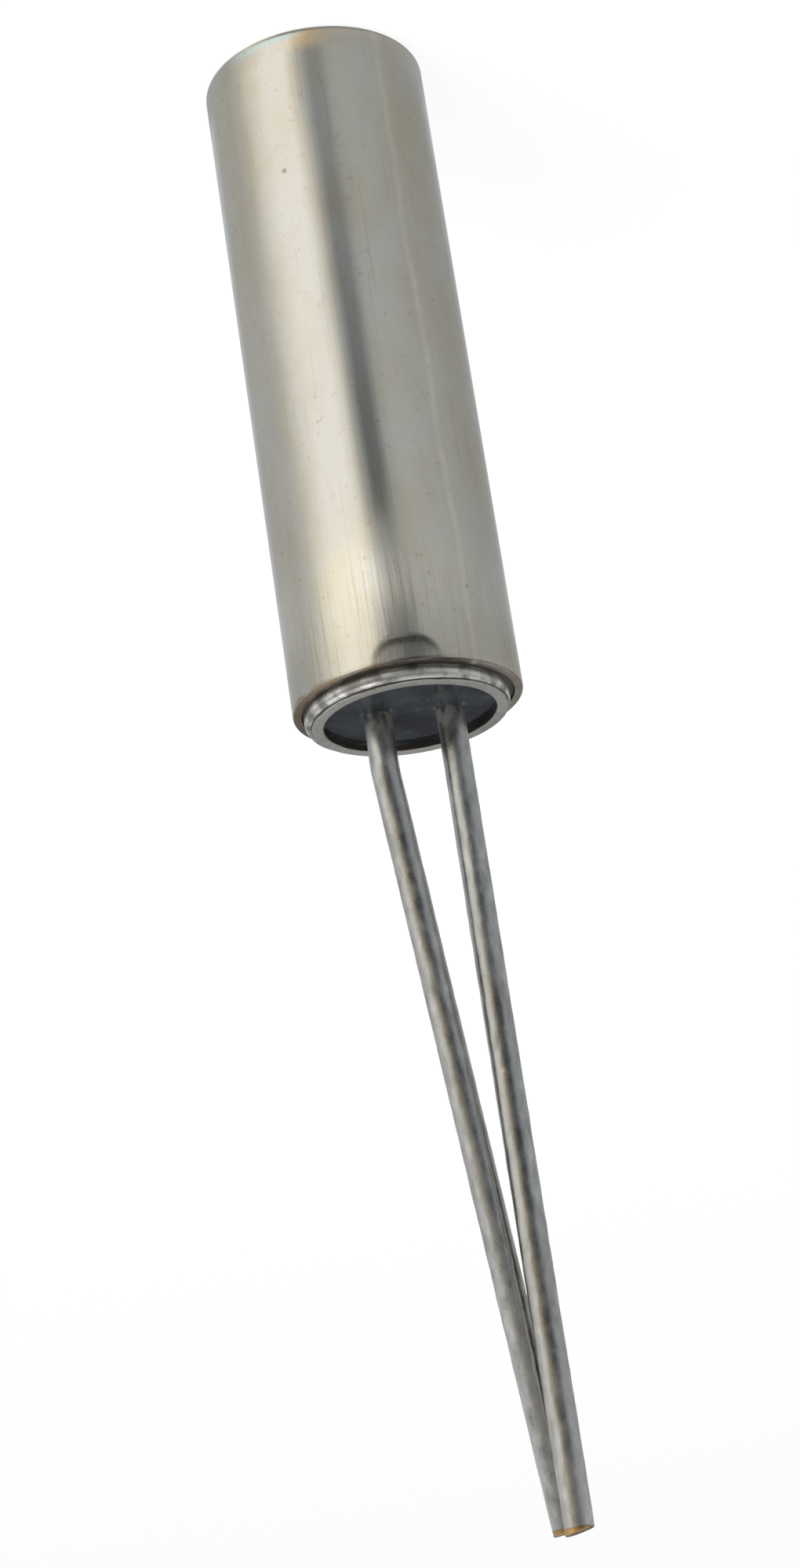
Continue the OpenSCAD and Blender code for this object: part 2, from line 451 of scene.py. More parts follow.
def nickelMaterial(spec):
    material, tree, metal = newMaterial("drawn_nickel_plate")
    code = {name: linearColour(shade) for name, shade in spec.items() if isinstance(shade, str)}
    spot = places(tree)
    parts = addNode(tree, "SeparateXYZ", {"Vector": spot})
    sideways, height = parts.outputs["X"], parts.outputs["Z"]
    depth = addNode(tree, "Math", {0: rimTop, 1: height}, operation="SUBTRACT")
    lines = addNode(tree, "TexNoise", {"Vector": places(tree, *spec["lineSize"]), "Scale": 1.0,
                    "Detail": 3.0, "Roughness": 0.6})
    clouds = addNode(tree, "TexNoise", {"Vector": places(tree, *spec["cloudSize"]), "Scale": 1.0,
                     "Detail": 5.0, "Roughness": 0.65})
    patches = addNode(tree, "TexNoise", {"Vector": spot, "Scale": 1 / spec["patchSize"], "Detail": 3.0})
    warmth = addNode(tree, "MapRange", {0: clouds, 1: 0.42, 2: 0.72})
    colour = addNode(tree, "Mix", {0: warmth, 6: code["clean"], 7: code["warm"]}, data_type="RGBA")

    # specks of tarnish, and long hairline scratches
    specks = addNode(tree, "TexNoise", {"Vector": spot, "Scale": 1 / spec["speckSize"], "Detail": 3.0,
                     "Roughness": 0.6})
    speckled = addNode(tree, "MapRange", {0: specks, 1: 0.62, 2: 0.8, 4: 0.4})
    colour = addNode(tree, "Mix", {0: speckled, 6: colour, 7: code["darkTone"]}, data_type="RGBA")
    hairs = addNode(tree, "TexNoise", {"Vector": places(tree, *spec["hairSize"]), "Scale": 1.0,
                    "Detail": 2.0, "Distortion": 0.25})
    scratched = addNode(tree, "MapRange", {0: hairs, 1: 0.62, 2: 0.74, 4: 0.16})
    colour = addNode(tree, "Mix", {0: scratched, 6: colour, 7: code["line"]}, data_type="RGBA")

    # the lines are dirtier near the mouth, where the header was pressed in
    nearMouth = addNode(tree, "MapRange", {0: depth, 1: spec["scoredFrom"], 2: 0.7})
    dirty = addNode(tree, "MapRange", {0: lines, 1: 0.54, 2: 0.68, 4: 0.3})
    dirty = addNode(tree, "Math", {0: nearMouth, 1: dirty}, operation="MULTIPLY")
    colour = addNode(tree, "Mix", {0: dirty, 6: colour, 7: code["line"]}, data_type="RGBA")

    # tarnish on the rim, reaching lower on the bent lead's side; painted shade, dark brown-grey, on the
    # rim's top, strongest in the middle across the view; and two single pits
    reach = addNode(tree, "MapRange", {0: sideways, 1: 0.0, 2: 1.4, 3: -0.01, 4: 0.07})
    uneven = addNode(tree, "MapRange", {0: patches, 1: 0.3, 2: 0.7, 3: -0.03, 4: 0.03})
    reach = addNode(tree, "Math", {0: reach, 1: uneven}, operation="ADD")
    inside = addNode(tree, "Math", {0: reach, 1: depth}, operation="SUBTRACT")
    tarnish = addNode(tree, "MapRange", {0: inside, 1: -0.02, 2: 0.03, 4: 0.6})
    colour = addNode(tree, "Mix", {0: tarnish, 6: colour, 7: code["rimSide"]}, data_type="RGBA")
    # painted shade on the rim's top: full in the middle across the view, fading towards the sides
    aside = addNode(tree, "Math", {0: sideways, 1: 0.15}, operation="SUBTRACT")
    aside = addNode(tree, "Math", {0: aside}, operation="ABSOLUTE")
    side = addNode(tree, "MapRange", {0: aside, 1: 0.5, 2: 1.3, 3: 0.95, 4: 0.3})
    onTop = addNode(tree, "MapRange", {0: depth, 1: 0.028, 2: 0.014, 4: side})
    colour = addNode(tree, "Mix", {0: onTop, 6: colour, 7: code["rimTop"]}, data_type="RGBA")
    for place, size in spec["pits"]:
        away = addNode(tree, "VectorMath", {0: spot, 1: place}, operation="DISTANCE").outputs["Value"]
        inPit = addNode(tree, "MapRange", {0: away, 1: size, 2: size * 0.4, 4: 0.5})
        colour = addNode(tree, "Mix", {0: inPit, 6: colour, 7: code["pit"]}, data_type="RGBA")

    # the die left one soft line along the can, not quite straight
    across = addNode(tree, "SeparateXYZ", {0: places(tree, turn=-spec["dieBearing"])})
    swayPlaces = places(tree, math.inf, spec["dieWaveLength"])
    sway = addNode(tree, "TexNoise", {"Vector": swayPlaces, "Scale": 1.0})
    sway = addNode(tree, "MapRange", {0: sway, 1: 0.3, 2: 0.7, 3: -0.06, 4: 0.06})
    off = addNode(tree, "Math", {0: across.outputs["Y"], 1: sway}, operation="ADD")
    off = addNode(tree, "Math", {0: off}, operation="ABSOLUTE")
    onLine = addNode(tree, "MapRange", {0: off, 1: spec["dieWidth"], 2: spec["dieWidth"] * 0.2, 4: 0.55})
    onThatSide = addNode(tree, "Math", {0: across.outputs["X"], 1: 0.5}, operation="GREATER_THAN")
    onLine = addNode(tree, "Math", {0: onLine, 1: onThatSide}, operation="MULTIPLY")
    faded = addNode(tree, "MapRange", {0: patches, 1: 0.35, 2: 0.6, 3: 0.3, 4: 1.0})
    onLine = addNode(tree, "Math", {0: onLine, 1: faded}, operation="MULTIPLY")
    colour = addNode(tree, "Mix", {0: onLine, 6: colour, 7: code["worn"]}, data_type="RGBA")

    metal.inputs["Metallic"].default_value = 1.0
    tree.links.new(colour.outputs[2], metal.inputs["Base Color"])
    satin = addNode(tree, "MapRange", {0: lines, 1: 0.3, 2: 0.7, 3: 0.1, 4: 0.17})
    dull = addNode(tree, "MapRange", {0: depth, 1: 0.05, 2: 0.0, 4: 0.2})
    rough = addNode(tree, "Math", {0: satin, 1: dull}, operation="ADD")
    tree.links.new(rough.outputs[0], metal.inputs["Roughness"])

    # the drawing lines, deeper near the mouth, over slow waves that bend the reflections a little
    waves = addNode(tree, "TexNoise", {"Vector": places(tree, *spec["waveSize"]), "Scale": 1.0,
                    "Detail": 1.0})
    slow = addNode(tree, "Bump", {"Height": waves, "Distance": 0.006 * mm, "Strength": 1.0})
    scored = addNode(tree, "MapRange", {0: depth, 1: spec["scoredFrom"], 2: 0.6, 3: 0.2, 4: 0.8})
    bump = addNode(tree, "Bump", {"Height": lines, "Distance": 0.002 * mm, "Strength": scored,
                   "Normal": slow})
    tree.links.new(bump.outputs[0], metal.inputs["Normal"])
    return material


# iron-nickel sealing alloy, its furnace scale etched off: pale and matt, finely pitted, with painted shade,
# dark brown, on its walls below the top edge, in the groove

ringFinish = dict(clean="#A8A7A2", shade="#878580", darkTone="#33291F", speck="#6A6358", metallic=0.75,
                  grainSize=1 / 28, cloudSize=1 / 3, speckSize=1 / 9)


def ringMaterial(spec):
    material, tree, metal = newMaterial("etched_iron_nickel")
    code = {name: linearColour(shade) for name, shade in spec.items() if isinstance(shade, str)}
    spot = places(tree)
    grain = addNode(tree, "TexNoise", {"Vector": spot, "Scale": 1 / spec["grainSize"], "Detail": 4.0,
                    "Roughness": 0.7})
    clouds = addNode(tree, "TexNoise", {"Vector": spot, "Scale": 1 / spec["cloudSize"], "Detail": 3.0})
    specks = addNode(tree, "TexNoise", {"Vector": spot, "Scale": 1 / spec["speckSize"], "Detail": 2.0})
    shading = addNode(tree, "MapRange", {0: grain, 1: 0.35, 2: 0.7, 4: 0.6})
    colour = addNode(tree, "Mix", {0: shading, 6: code["clean"], 7: code["shade"]}, data_type="RGBA")
    cloudy = addNode(tree, "MapRange", {0: clouds, 1: 0.5, 2: 0.75, 4: 0.5})
    colour = addNode(tree, "Mix", {0: cloudy, 6: colour, 7: code["shade"]}, data_type="RGBA")
    speckled = addNode(tree, "MapRange", {0: specks, 1: 0.68, 2: 0.76, 4: 0.7})
    colour = addNode(tree, "Mix", {0: speckled, 6: colour, 7: code["speck"]}, data_type="RGBA")
    # painted shade: dark brown on the walls below the top edge, in the groove outside and above the glass
    # inside
    height = addNode(tree, "SeparateXYZ", {"Vector": spot}).outputs["Z"]
    uneven = addNode(tree, "MapRange", {0: clouds, 1: 0.3, 2: 0.7, 3: -0.008, 4: 0.008})
    height = addNode(tree, "Math", {0: height, 1: uneven}, operation="ADD")
    grooveShade = addNode(tree, "MapRange", {0: height, 1: ringTop - 0.006, 2: ringTop - 0.02, 4: 0.92})
    colour = addNode(tree, "Mix", {0: grooveShade, 6: colour, 7: code["darkTone"]}, data_type="RGBA")
    metal.inputs["Metallic"].default_value = spec["metallic"]
    tree.links.new(colour.outputs[2], metal.inputs["Base Color"])
    rough = addNode(tree, "MapRange", {0: grain, 1: 0.3, 2: 0.7, 3: 0.48, 4: 0.62})
    tree.links.new(rough.outputs[0], metal.inputs["Roughness"])
    bump = addNode(tree, "Bump", {"Height": grain, "Distance": 0.003 * mm, "Strength": 0.6})
    tree.links.new(bump.outputs[0], metal.inputs["Normal"])
    return material


# tin-lead solder, squeezed out and frozen: lumpy, here shiny and there dull, with painted shade, dark
# grey-brown and matt, in the cove under the bead

solderFinish = dict(shiny="#D6D4CD", dull="#868480", coveShade="#5A5A58", coveShadeTint="#665E54", lumpSize=1 / 4.5,
                    grainSize=1 / 9)


def solderMaterial(spec, shape):
    material, tree, metal = newMaterial("soft_solder")
    code = {name: linearColour(shade) for name, shade in spec.items() if isinstance(shade, str)}
    spot = places(tree)
    lumps = addNode(tree, "TexNoise", {"Vector": spot, "Scale": 1 / spec["lumpSize"], "Detail": 3.0})
    grain = addNode(tree, "TexNoise", {"Vector": spot, "Scale": 1 / spec["grainSize"], "Detail": 3.0})
    dulled = addNode(tree, "MapRange", {0: lumps, 1: 0.44, 2: 0.62, 4: 0.9})
    colour = addNode(tree, "Mix", {0: dulled, 6: code["shiny"], 7: code["dull"]}, data_type="RGBA")
    frosted = addNode(tree, "MapRange", {0: grain, 1: 0.55, 2: 0.75, 4: 0.4})
    colour = addNode(tree, "Mix", {0: frosted, 6: colour, 7: code["dull"]}, data_type="RGBA")
    # painted shade in the cove under the bead: dark grey-brown, tinted by the grain, and made matt and less
    # metallic there
    tinted = addNode(tree, "MapRange", {0: grain, 1: 0.4, 2: 0.7, 4: 0.7})
    coveShadeColour = addNode(tree, "Mix", {0: tinted, 6: code["coveShade"], 7: code["coveShadeTint"]}, data_type="RGBA")
    height = addNode(tree, "SeparateXYZ", {"Vector": spot}).outputs["Z"]
    uneven = addNode(tree, "MapRange", {0: lumps, 1: 0.3, 2: 0.7, 3: -0.02, 4: 0.02})
    height = addNode(tree, "Math", {0: height, 1: uneven}, operation="ADD")
    beadFoot = shape["beadHeight"] - shape["beadSize"]
    inCoveShade = addNode(tree, "MapRange", {0: height, 1: beadFoot + 0.035, 2: beadFoot + 0.01})
    colour = addNode(tree, "Mix", {0: inCoveShade, 6: colour, 7: coveShadeColour}, data_type="RGBA")
    tree.links.new(colour.outputs[2], metal.inputs["Base Color"])
    bare = addNode(tree, "MapRange", {0: inCoveShade, 3: 0.86, 4: 0.3})
    tree.links.new(bare.outputs[0], metal.inputs["Metallic"])
    rough = addNode(tree, "MapRange", {0: lumps, 1: 0.35, 2: 0.7, 3: 0.22, 4: 0.38})
    rough = addNode(tree, "Math", {0: inCoveShade, 1: 0.3, 2: rough}, operation="MULTIPLY_ADD")
    tree.links.new(rough.outputs[0], metal.inputs["Roughness"])
    swell = addNode(tree, "Bump", {"Height": lumps, "Distance": 0.012 * mm, "Strength": 0.6})
    bump = addNode(tree, "Bump", {"Height": grain, "Distance": 0.003 * mm, "Strength": 0.5,
                   "Normal": swell})
    tree.links.new(bump.outputs[0], metal.inputs["Normal"])
    return material


# wire dipped in tin and gone dull: frosted grey with paler flecks, one worn spot on each wire, a matt foot
# where the flux ran, and a yellow cut end

wireFinish = dict(tin="#C0BFBB", fleck="#DCDBD6", dull="#A5A49F", dirt="#7C705E", foot="#B2B1AC",
                  footShade="#73716C", cut="#C6A060", cutEdge="#B5763C", worn="#E6E0D0",
                  frostSize=(1 / 8, 1 / 3.6), cloudSize=(1 / 2.5, 1 / 0.875), footTop=0.55, footFull=0.25)


def wireMaterial(name, spec, lead):
    material, tree, metal = newMaterial(name)
    code = {part: linearColour(shade) for part, shade in spec.items() if isinstance(shade, str)}
    spot, wornSize, bareLow = places(tree), lead["wornSize"], lead["top"] - lead["bareEnd"]
    frost = addNode(tree, "TexNoise", {"Vector": places(tree, *spec["frostSize"]), "Scale": 1.0,
                    "Detail": 3.0, "Roughness": 0.5})
    clouds = addNode(tree, "TexNoise", {"Vector": places(tree, *spec["cloudSize"]), "Scale": 1.0,
                     "Detail": 3.0})
    dulled = addNode(tree, "MapRange", {0: frost, 1: 0.48, 2: 0.34, 4: 0.8})
    colour = addNode(tree, "Mix", {0: dulled, 6: code["tin"], 7: code["dull"]}, data_type="RGBA")
    flecked = addNode(tree, "MapRange", {0: frost, 1: 0.54, 2: 0.7, 4: 0.8})
    colour = addNode(tree, "Mix", {0: flecked, 6: colour, 7: code["fleck"]}, data_type="RGBA")
    dirty = addNode(tree, "MapRange", {0: clouds, 1: 0.56, 2: 0.75, 4: 0.35})
    colour = addNode(tree, "Mix", {0: dirty, 6: colour, 7: code["dirt"]}, data_type="RGBA")
    height = addNode(tree, "SeparateXYZ", {"Vector": spot}).outputs["Z"]
    raised = addNode(tree, "Math", {0: clouds, 1: 0.3, 2: height}, operation="MULTIPLY_ADD")
    atFoot = addNode(tree, "MapRange", {0: raised, 1: glassTop + spec["footTop"],
                     2: glassTop + spec["footFull"]})
    mottle = addNode(tree, "MapRange", {0: frost, 1: 0.42, 2: 0.58})
    footColour = addNode(tree, "Mix", {0: mottle, 6: code["footShade"], 7: code["foot"]}, data_type="RGBA")
    colour = addNode(tree, "Mix", {0: atFoot, 6: colour, 7: footColour}, data_type="RGBA")
    away = addNode(tree, "VectorMath", {0: spot, 1: lead["worn"]}, operation="DISTANCE").outputs["Value"]
    away = addNode(tree, "Math", {0: frost, 1: wornSize, 2: away}, operation="MULTIPLY_ADD")
    isWorn = addNode(tree, "MapRange", {0: away, 1: wornSize * 1.6, 2: wornSize * 1.1, 4: 0.9})
    colour = addNode(tree, "Mix", {0: isWorn, 6: colour, 7: code["worn"]}, data_type="RGBA")
    uneven = addNode(tree, "Math", {0: frost, 1: 0.03, 2: height}, operation="MULTIPLY_ADD")
    bare = addNode(tree, "MapRange", {0: uneven, 1: bareLow, 2: bareLow + 0.01, 4: 0.9})
    inner = addNode(tree, "MapRange", {0: uneven, 1: bareLow + 0.005, 2: bareLow + 0.03})
    bareColour = addNode(tree, "Mix", {0: inner, 6: code["cutEdge"], 7: code["cut"]}, data_type="RGBA")
    colour = addNode(tree, "Mix", {0: bare, 6: colour, 7: bareColour}, data_type="RGBA")
    tree.links.new(colour.outputs[2], metal.inputs["Base Color"])
    metallic = addNode(tree, "MapRange", {0: atFoot, 3: 1.0, 4: 0.9})
    tree.links.new(metallic.outputs[0], metal.inputs["Metallic"])
    rough = addNode(tree, "MapRange", {0: frost, 1: 0.3, 2: 0.7, 3: 0.21, 4: 0.33})
    rough = addNode(tree, "Math", {0: atFoot, 1: 0.25, 2: rough}, operation="MULTIPLY_ADD")
    tree.links.new(rough.outputs[0], metal.inputs["Roughness"])
    slow = addNode(tree, "Bump", {"Height": clouds, "Distance": 0.012 * mm, "Strength": 1.0})
    bump = addNode(tree, "Bump", {"Height": frost, "Distance": 0.006 * mm, "Strength": 0.6, "Normal": slow})
    tree.links.new(bump.outputs[0], metal.inputs["Normal"])
    return material


# sealing glass: nearly black and glossy, with a faint bluish bloom and a few specks of dust

glassFinish = dict(clear="#151719", bloom="#292C2F", dust="#4E504E", bloomSize=1 / 1.6, dustSize=1 / 14,
                   ior=1.5)


def glassMaterial(spec):
    material, tree, shader = newMaterial("sealing_glass")
    code = {name: linearColour(shade) for name, shade in spec.items() if isinstance(shade, str)}
    spot = places(tree)
    bloom = addNode(tree, "TexNoise", {"Vector": spot, "Scale": 1 / spec["bloomSize"], "Detail": 4.0,
                    "Roughness": 0.6})
    dust = addNode(tree, "TexNoise", {"Vector": spot, "Scale": 1 / spec["dustSize"], "Detail": 3.0})
    bloomed = addNode(tree, "MapRange", {0: bloom, 1: 0.42, 2: 0.68})
    colour = addNode(tree, "Mix", {0: bloomed, 6: code["clear"], 7: code["bloom"]}, data_type="RGBA")
    dusty = addNode(tree, "MapRange", {0: dust, 1: 0.66, 2: 0.76, 4: 0.6})
    colour = addNode(tree, "Mix", {0: dusty, 6: colour, 7: code["dust"]}, data_type="RGBA")
    tree.links.new(colour.outputs[2], shader.inputs["Base Color"])
    rough = addNode(tree, "MapRange", {0: bloom, 1: 0.4, 2: 0.7, 3: 0.06, 4: 0.18})
    tree.links.new(rough.outputs[0], shader.inputs["Roughness"])
    shader.inputs["IOR"].default_value = spec["ior"]
    bump = addNode(tree, "Bump", {"Height": bloom, "Distance": 0.006 * mm, "Strength": 0.4})
    tree.links.new(bump.outputs[0], shader.inputs["Normal"])
    return material


# inside the can: quartz lapped to a grey frost, silver evaporated on it, and epoxy filled with silver flakes

insideFinish = dict(
    lapped_quartz=dict(base="#D8DFE3", other="#BFC8CE", grain=1 / 40, metallic=0.0, rough=(0.35, 0.5),
                       relief=0.001),
    evaporated_silver=dict(base="#E4E1DA", other="#CFC6B0", grain=1 / 6, metallic=1.0, rough=(0.2, 0.34),
                           relief=0.001),
    silver_filled_adhesive=dict(base="#A8A69E", other="#6F6C64", grain=1 / 22, metallic=0.7,
                                rough=(0.45, 0.7), relief=0.008))


def insideMaterial(name, spec):
    material, tree, shader = newMaterial(name)
    grain = addNode(tree, "TexNoise", {"Vector": places(tree), "Scale": 1 / spec["grain"], "Detail": 4.0,
                    "Roughness": 0.65})
    mottle = addNode(tree, "MapRange", {0: grain, 1: 0.38, 2: 0.66})
    colour = addNode(tree, "Mix", {0: mottle, 6: linearColour(spec["base"]), 7: linearColour(spec["other"])},
                     data_type="RGBA")
    tree.links.new(colour.outputs[2], shader.inputs["Base Color"])
    shader.inputs["Metallic"].default_value = spec["metallic"]
    low, high = spec["rough"]
    rough = addNode(tree, "MapRange", {0: grain, 1: 0.3, 2: 0.7, 3: low, 4: high})
    tree.links.new(rough.outputs[0], shader.inputs["Roughness"])
    bump = addNode(tree, "Bump", {"Height": grain, "Distance": spec["relief"] * mm, "Strength": 0.8})
    tree.links.new(bump.outputs[0], shader.inputs["Normal"])
    return material


nickel = nickelMaterial(nickelSpec)
ringAlloy = ringMaterial(ringFinish)
solderAlloy = solderMaterial(solderFinish, solderSpec)
straightTin = wireMaterial("tinned_wire", wireFinish, straightSpec)
bentTin = wireMaterial("tinned_wire_scratched", wireFinish, bentSpec)
sealingGlass = glassMaterial(glassFinish)
quartz, silverFilm, adhesive = [insideMaterial(name, spec) for name, spec in insideFinish.items()]

finishes = [(can, "can", "can", nickel), (ring, "header_ring", "header_ring", ringAlloy),
            (solder, "solder_seal", "solder_seal", solderAlloy),
            (glass, "glass_seal", "glass_seal", sealingGlass),
            (straightLead, "straight_lead", "leads", straightTin), (bentLead, "bent_lead", "leads", bentTin)]
for piece, nodeName, slotName, material in finishes:
    piece.data.materials.clear()
    piece.data.materials.append(material)
    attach(piece, "root")
    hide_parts(nodeName)

hiddenFinishes = dict(quartz_blank=quartz, front_electrode=silverFilm, back_electrode=silverFilm,
                      straight_joint=adhesive, bent_joint=adhesive)
for nodeName, material in hiddenFinishes.items():
    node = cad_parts[nodeName]
    for place in node.material_slots:
        place.material = material
print("materials set")


# white paper for a floor, which keeps the shadow, and shows as white to the camera and in what reflects it

floorSpec = dict(size=4, colour="#F2F2F1", whiteShare=0.9)


def makeFloor(spec):
    clearSelection()
    bpy.ops.mesh.primitive_plane_add(size=spec["size"])
    floor = bpy.context.object
    floor.name = "floor"
    material, tree, paper = newMaterial("white_paper")
    paper.inputs["Base Color"].default_value = linearColour(spec["colour"])
    paper.inputs["Roughness"].default_value = 0.9
    glow = addNode(tree, "Emission", {"Color": (1, 1, 1, 1), "Strength": 1.0})
    path = addNode(tree, "LightPath")
    seen = addNode(tree, "Math", {0: path.outputs["Is Camera Ray"], 1: path.outputs["Is Glossy Ray"]},
                   operation="ADD")
    seen = addNode(tree, "Math", {0: seen, 1: path.outputs["Is Transmission Ray"]}, operation="ADD",
                   use_clamp=True)
    share = addNode(tree, "Math", {0: seen, 1: spec["whiteShare"]}, operation="MULTIPLY")
    mixed = addNode(tree, "MixShader", {"Fac": share, 1: paper, 2: glow})
    tree.links.new(mixed.outputs[0], tree.nodes["Material Output"].inputs["Surface"])
    floor.data.materials.append(material)


makeFloor(floorSpec)


# reflector sheets on the floor round the can, seen only in what reflects them: a bright one, a dark one and
# grey between. Each edge is curved so that its image runs straight up the can. The stops give the shade at
# each angle round the can, 0 towards the camera. sheetBands gives the distances over which each list takes
# over from the one before.

sheetSpec = dict(inner=1.2, outer=220, height=0.02, strength=1.25, facing=170.63, canRadius=1.5)
cornerStops = [(-90, "#A6A9AD"), (-50, "#A8ABAE"), (-36, "#C8C9C8"), (-24, "#BCBBB6"), (-12, "#94938E"),
               (10, "#8E9296"), (90, "#969A9E")]
glintStops = [(-90, "#9EA2A6"), (-50, "#A8ACB0"), (-43, "#B4C2CC"), (-34, "#D0E4F0"), (-22, "#E6F8FF"),
              (-10, "#DCF2FF"), (-4, "#D4D0C6"), (2, "#C0B4A2"), (12, "#ACABA6"), (60, "#9EA2A6"),
              (90, "#A0A4A8")]
footStops = [(-90, "#A0A4A8"), (-50, "#A8ABAE"), (-40, "#C6C8C8"), (-30, "#E0E0DE"), (-20, "#F6F6F6"),
             (-10, "#F2EADC"), (-5, "#D8C6AA"), (0, "#C2B6A2"), (6, "#B0AEA8"), (14, "#A4A6A8"),
             (50, "#9A9EA2"), (90, "#A0A4A8")]
nearStops = [(-90, "#BCC0C4"), (-80, "#AEB2B6"), (-74, "#A4A7AB"), (-66, "#A8ABAF"), (-52, "#AAADB1"),
             (-44, "#BABCBC"), (-36, "#DEDEDE"), (-27, "#F5F5F8"), (-14, "#F6F6F9"), (-10, "#DDDEDE"),
             (-5, "#AEB2B8"), (-1, "#8E949C"), (5, "#8E949C"), (9, "#A2A8AD"), (14, "#A6ABAF"),
             (60, "#969A9E"), (74, "#969A9E"), (82, "#A0A4A8"), (90, "#B0B4B8")]
middleStops = [(-90, "#BCC0C4"), (-80, "#AEB2B6"), (-74, "#A4A7AB"), (-66, "#A8ABAF"), (-50, "#ACAFB3"),
               (-42, "#BCBEBE"), (-34, "#E0E0E0"), (-26, "#F4F4F8"), (-13, "#F6F6FA"), (-9, "#E2E2E0"),
               (-5, "#989CA0"), (-1, "#565C62"), (4, "#5C6268"), (9, "#A0A6AB"), (15, "#AEB3B7"),
               (60, "#969A9E"), (74, "#969A9E"), (82, "#A0A4A8"), (90, "#B0B4B8")]
gapStops = [(-90, "#B4B8BC"), (-80, "#A0A4A8"), (-70, "#9EA1A5"), (-50, "#A2A5A9"), (-41, "#B4B6B6"),
            (-34, "#E0E0DC"), (-27, "#F8F8F8"), (-20, "#FFFFFF"), (-9, "#FFFFFF"), (-4, "#D6D8D8"),
            (3, "#AEB1B4"), (10, "#A0A4A8"), (15, "#A4A8AB"), (60, "#8E9296"), (76, "#8E9296"),
            (90, "#A8ACB0")]
tongueStops = [(-90, "#AEB2B6"), (-71, "#A0A4A8"), (-50, "#A8ABAF"), (-36, "#E4E4E0"), (-27, "#FFFFFF"),
               (-14, "#F4F4F4"), (-8, "#A4A8AC"), (-4, "#4A5056"), (5, "#41474D"), (10, "#8A8E92"),
               (14, "#A4A8AC"), (60, "#94989C"), (76, "#94989C"), (90, "#A8ACB0")]
mouthStops = [(-90, "#9EA3AA"), (-60, "#9CA1A6"), (-45, "#AEB2B4"), (-36, "#DCDCD8"), (-22, "#F0F0EC"),
              (-15, "#CCCCC8"), (-8, "#9C9E9E"), (1, "#84888C"), (6, "#6A6E73"), (11, "#666A70"),
              (16, "#84888C"), (24, "#969A9E"), (45, "#A0A4A8"), (76, "#94989C"), (90, "#A0A4A8")]
dentStops = [(-90, "#AEB1B4"), (-62, "#B4B6B8"), (-50, "#C8C8C6"), (-36, "#E8E8E6"), (-22, "#ECE8E0"),
             (-14, "#B0ACA4"), (-9, "#7A746A"), (-4, "#4C4C4A"), (1, "#36393C"), (8, "#363A3E"),
             (13, "#3E4348"), (18, "#7C8084"), (26, "#9A9EA2"), (60, "#9EA2A6"), (90, "#989CA0")]
leadStops = [(-90, "#AEB1B4"), (-62, "#B4B6B8"), (-50, "#C8C8C6"), (-40, "#E8E8E6"), (-28, "#ECE8E0"),
             (-20, "#BCB4A4"), (-13, "#938870"), (-6, "#71674F"), (0, "#4C5055"), (9, "#3A4046"),
             (17, "#5E656B"), (25, "#8F9498"), (40, "#A0A4A7"), (60, "#9EA2A6"), (90, "#989CA0")]
sheetBands = [(None, cornerStops), ((1.50, 1.56), glintStops), ((1.68, 1.75), footStops),
              ((1.82, 2.1), nearStops), ((2.6, 16.6), middleStops), ((18.0, 19.0), gapStops),
              ((21.2, 22.0), tongueStops), ((24.0, 25.6), mouthStops), ((30.2, 32.2), dentStops),
              ((46, 60), leadStops)]
sheetLevels = [((18.0, 19.0), 0.3), ((21.2, 22.0), -0.3)]  # the strength steps up, and down again


def makeSheets(spec):
    clearSelection()
    bpy.ops.mesh.primitive_circle_add(vertices=64, radius=spec["inner"] * mm,
                                      location=(0, 0, spec["height"] * mm))
    sheets = startEditing("reflector_sheets")
    extrudeRing((0, 0, 0))
    growth = spec["outer"] / spec["inner"]
    bpy.ops.transform.resize(value=(growth, growth, 1), center_override=(0, 0, 0))
    bpy.ops.object.mode_set(mode="OBJECT")
    material, tree = newMaterial("reflector_card")[:2]
    turned = places(tree, along=math.inf, turn=spec["facing"])
    parts = addNode(tree, "SeparateXYZ", {"Vector": turned})
    distance = addNode(tree, "VectorMath", {0: turned}, operation="LENGTH")
    bearing = addNode(tree, "Math", {0: parts.outputs["X"], 1: parts.outputs["Y"]}, operation="ARCTAN2")

    # the can mirrors what lies at that bearing and distance at about bearing / (2 - can radius / distance)
    bend = addNode(tree, "Math", {0: spec["canRadius"], 1: distance}, operation="DIVIDE")
    bend = addNode(tree, "Math", {0: 2.0, 1: bend}, operation="SUBTRACT")
    onCan = addNode(tree, "Math", {0: bearing, 1: bend}, operation="DIVIDE")
    around = addNode(tree, "MapRange", {0: onCan, 1: -math.pi / 2, 2: math.pi / 2})
    colour = None
    for reach, stops in sheetBands:
        ramp = addNode(tree, "ValToRGB", {"Fac": around},
                       stops=[((angle + 90) / 180, shade) for angle, shade in stops])
        if colour:
            past = addNode(tree, "MapRange", {0: distance, 1: reach[0], 2: reach[1]})
            colour = addNode(tree, "Mix", {0: past, 6: colour, 7: ramp}, data_type="RGBA")
        else:
            colour = ramp
    level = spec["strength"]
    for reach, step in sheetLevels:
        rise = addNode(tree, "MapRange", {0: distance, 1: reach[0], 2: reach[1], 4: step})
        level = addNode(tree, "Math", {0: level, 1: rise}, operation="ADD")
    glow = addNode(tree, "Emission", {"Color": colour, "Strength": level})
    tree.links.new(glow.outputs[0], tree.nodes["Material Output"].inputs["Surface"])
    sheets.data.materials.append(material)
    sheets.visible_camera = sheets.visible_diffuse = sheets.visible_shadow = False
    sheets.visible_transmission = sheets.visible_volume_scatter = False


makeSheets(sheetSpec)


# two soft lamps, which the metal doesn't mirror

lampSpecs = [dict(name="key", place=(110, -90, 150), power=0.45),
             dict(name="fill", place=(-140, -60, 120), power=0.2)]
lampSize, lampAim = 120, (0, 0, 6)


